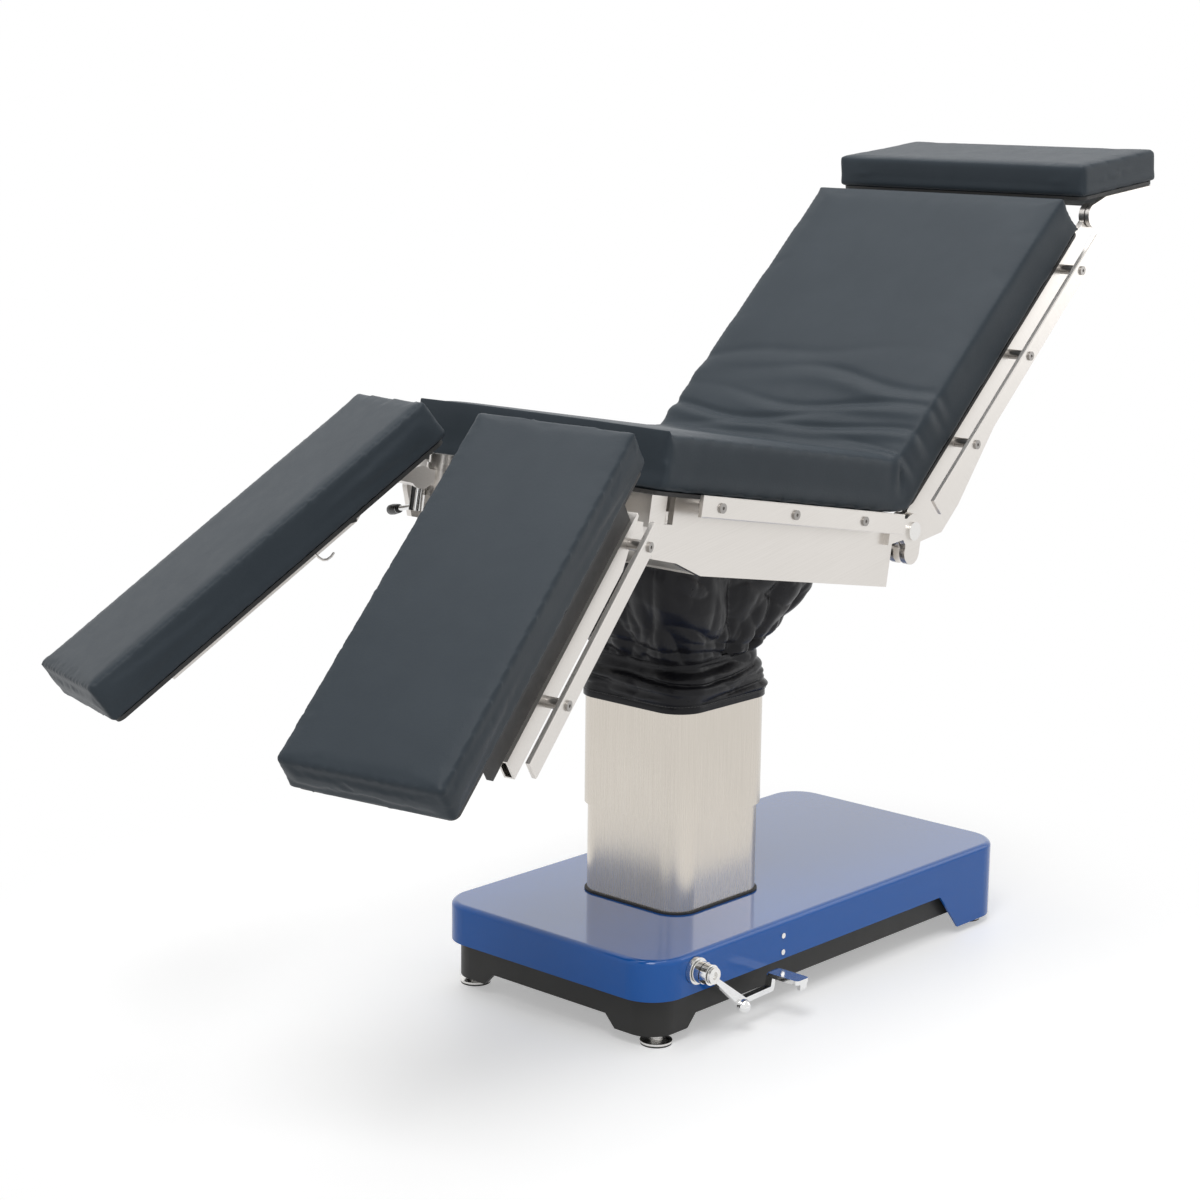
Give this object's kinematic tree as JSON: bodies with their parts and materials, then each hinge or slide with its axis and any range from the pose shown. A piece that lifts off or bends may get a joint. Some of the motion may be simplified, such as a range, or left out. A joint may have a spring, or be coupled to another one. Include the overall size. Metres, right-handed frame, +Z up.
{
  "type": "operating table",
  "caption": "Operating table with a telescopic column on a box base, a tilting seat, hinged back and head sections, two swivelling leg plates, side rails, pedals and drawn-up castors.",
  "frame": {"origin": "on the floor, under the centre line of the column", "axes": "+X towards the head end, +Y towards the side away from the pedals, +Z up"},
  "size_m": [1.9582, 0.8533, 1.3214],
  "materials": {
    "cover_paint": "gloss blue paint",
    "cast_base": "satin dark grey paint",
    "bright_steel": "bright steel",
    "chrome": "polished",
    "column_steel": "brushed upright, satin",
    "frame_steel": "brushed, satin",
    "dark_steel": "oiled dark steel",
    "soft_rubber": "matt",
    "bellows_rubber": "thin coated fabric, slight sheen",
    "cushion": "dark slate leatherette, satin",
    "board": "matt"
  },
  "bodies": {
    "base": {"base_frame": "cast_base", "base_cover": "cover_paint", "cover_screws": "bright_steel", "column_seal": "soft_rubber", "lower_column_sleeve": "column_steel", "guide_tube": "dark_steel", "lift_cylinder_barrel": "dark_steel", "foot_spindles": "bright_steel", "foot_discs": "bright_steel", "foot_pads": "soft_rubber", "pedal_bracket": "bright_steel"},
    "castor_carriage": {"castor_carriage": "cast_base"},
    "brake_pedal": {"brake_pedal": "chrome"},
    "release_pedal": {"release_pedal": "chrome"},
    "column_upper": {"upper_column_sleeve": "column_steel", "column_head": "dark_steel", "moving_mast": "dark_steel", "lift_piston_rod": "bright_steel", "lower_bellows": "bellows_rubber"},
    "tilt_yoke": {"tilt_cross": "bright_steel"},
    "seat": {"saddle": "dark_steel", "seat_frame": "frame_steel", "seat_board": "board", "seat_pad": "cushion", "hinge_pins": "bright_steel", "seat_rail_near": "frame_steel", "seat_rail_far": "frame_steel", "seat_rail_bolts": "bright_steel", "upper_bellows": "bellows_rubber"},
    "back": {"back_frame": "frame_steel", "back_board": "board", "back_pad": "cushion", "back_rail_near": "frame_steel", "back_rail_far": "frame_steel", "back_rail_bolts": "bright_steel"},
    "head": {"head_frame": "frame_steel", "head_board": "board", "head_pad": "cushion"},
    "castor_fork_1": {"castor_fork_1": "chrome"},
    "castor_wheel_1": {"castor_wheel_1": "soft_rubber"},
    "castor_fork_2": {"castor_fork_2": "chrome"},
    "castor_wheel_2": {"castor_wheel_2": "soft_rubber"},
    "castor_fork_3": {"castor_fork_3": "chrome"},
    "castor_wheel_3": {"castor_wheel_3": "soft_rubber"},
    "castor_fork_4": {"castor_fork_4": "chrome"},
    "castor_wheel_4": {"castor_wheel_4": "soft_rubber"},
    "leg_swivel_near": {"leg_swivel_near": "frame_steel"},
    "clamp_lever_near": {"clamp_lever_near": "chrome"},
    "leg_near": {"leg_frame_near": "frame_steel", "leg_board_near": "board", "leg_pad_near": "cushion", "leg_rail_near": "frame_steel", "leg_rail_bolts_near": "bright_steel"},
    "leg_swivel_far": {"leg_swivel_far": "frame_steel"},
    "clamp_lever_far": {"clamp_lever_far": "chrome"},
    "leg_far": {"leg_frame_far": "frame_steel", "leg_board_far": "board", "leg_pad_far": "cushion", "leg_rail_far": "frame_steel", "leg_rail_bolts_far": "bright_steel"}
  },
  "joints": [
    {"name": "castor_slide", "type": "slide", "parent": "base", "child": "castor_carriage", "axis": [0, 0, 1], "range_m": [-0.016, 0]},
    {"name": "castor_swivel_1", "type": "hinge", "parent": "castor_carriage", "child": "castor_fork_1", "pos_m": [-0.1686, -0.1355, 0.084], "axis": [0, 0, 1], "continuous": true},
    {"name": "castor_roll_1", "type": "hinge", "parent": "castor_fork_1", "child": "castor_wheel_1", "pos_m": [-0.1466, -0.1355, 0.039], "axis": [0, 1, 0], "continuous": true},
    {"name": "castor_swivel_2", "type": "hinge", "parent": "castor_carriage", "child": "castor_fork_2", "pos_m": [-0.1686, 0.1355, 0.084], "axis": [0, 0, 1], "continuous": true},
    {"name": "castor_roll_2", "type": "hinge", "parent": "castor_fork_2", "child": "castor_wheel_2", "pos_m": [-0.1466, 0.1355, 0.039], "axis": [0, 1, 0], "continuous": true},
    {"name": "castor_swivel_3", "type": "hinge", "parent": "castor_carriage", "child": "castor_fork_3", "pos_m": [0.4834, -0.1355, 0.084], "axis": [0, 0, 1], "continuous": true},
    {"name": "castor_roll_3", "type": "hinge", "parent": "castor_fork_3", "child": "castor_wheel_3", "pos_m": [0.5054, -0.1355, 0.039], "axis": [0, 1, 0], "continuous": true},
    {"name": "castor_swivel_4", "type": "hinge", "parent": "castor_carriage", "child": "castor_fork_4", "pos_m": [0.4834, 0.1355, 0.084], "axis": [0, 0, 1], "continuous": true},
    {"name": "castor_roll_4", "type": "hinge", "parent": "castor_fork_4", "child": "castor_wheel_4", "pos_m": [0.5054, 0.1355, 0.039], "axis": [0, 1, 0], "continuous": true},
    {"name": "brake_pedal_hinge", "type": "hinge", "parent": "base", "child": "brake_pedal", "pos_m": [-0.214, -0.2335, 0.116], "axis": [0, 1, 0], "range_deg": [0, 12]},
    {"name": "release_pedal_hinge", "type": "hinge", "parent": "base", "child": "release_pedal", "pos_m": [-0.214, -0.2335, 0.116], "axis": [0, 1, 0], "range_deg": [0, 9], "stiffness_Nm_per_rad": 3, "springref_deg": -20.05},
    {"name": "lift", "type": "slide", "parent": "base", "child": "column_upper", "axis": [0, 0, 1], "range_m": [-0.06, 0.1]},
    {"name": "lateral_tilt", "type": "hinge", "parent": "column_upper", "child": "tilt_yoke", "pos_m": [0, 0, 0.588], "axis": [1, 0, 0], "range_deg": [-18, 18], "deforming": ["lower_bellows"]},
    {"name": "trendelenburg", "type": "hinge", "parent": "tilt_yoke", "child": "seat", "pos_m": [0, 0, 0.588], "axis": [0, 1, 0], "range_deg": [-32, 15], "deforming": ["upper_bellows"]},
    {"name": "back_hinge", "type": "hinge", "parent": "seat", "child": "back", "pos_m": [0.27201, 0, 0.73297], "axis": [0, -1, 0], "range_deg": [-82.3, 17.7]},
    {"name": "head_hinge", "type": "hinge", "parent": "back", "child": "head", "pos_m": [0.77037, 0, 1.21349], "axis": [0, 1, 0], "range_deg": [-41.5, 48.5]},
    {"name": "swivel_near", "type": "hinge", "parent": "seat", "child": "leg_swivel_near", "pos_m": [-0.38199, -0.1415, 0.84321], "axis": [0.1736, 0, 0.9848], "range_deg": [-15.5, 10.5]},
    {"name": "leg_hinge_near", "type": "hinge", "parent": "leg_swivel_near", "child": "leg_near", "pos_m": [-0.43418, -0.1562, 0.85241], "axis": [0.2632, -0.9636, -0.0464], "range_deg": [-48.3, 41.7]},
    {"name": "clamp_near", "type": "hinge", "parent": "leg_swivel_near", "child": "clamp_lever_near", "pos_m": [-0.4152, -0.15085, 0.84906], "axis": [0.1736, 0, 0.9848], "range_deg": [-10, 60]},
    {"name": "swivel_far", "type": "hinge", "parent": "seat", "child": "leg_swivel_far", "pos_m": [-0.38199, 0.1415, 0.84321], "axis": [-0.1736, 0, -0.9848], "range_deg": [-20.6, 5.4]},
    {"name": "leg_hinge_far", "type": "hinge", "parent": "leg_swivel_far", "child": "leg_far", "pos_m": [-0.43269, 0.16085, 0.85215], "axis": [-0.3465, -0.9361, 0.0611], "range_deg": [-45.2, 44.8]},
    {"name": "clamp_far", "type": "hinge", "parent": "leg_swivel_far", "child": "clamp_lever_far", "pos_m": [-0.41425, 0.15381, 0.8489], "axis": [0.1736, 0, 0.9848], "range_deg": [-60, 10]}
  ],
  "couplings": [
    {"joint": "brake_pedal_hinge", "follows": "castor_slide", "rad_per_m": -13.09}
  ]
}
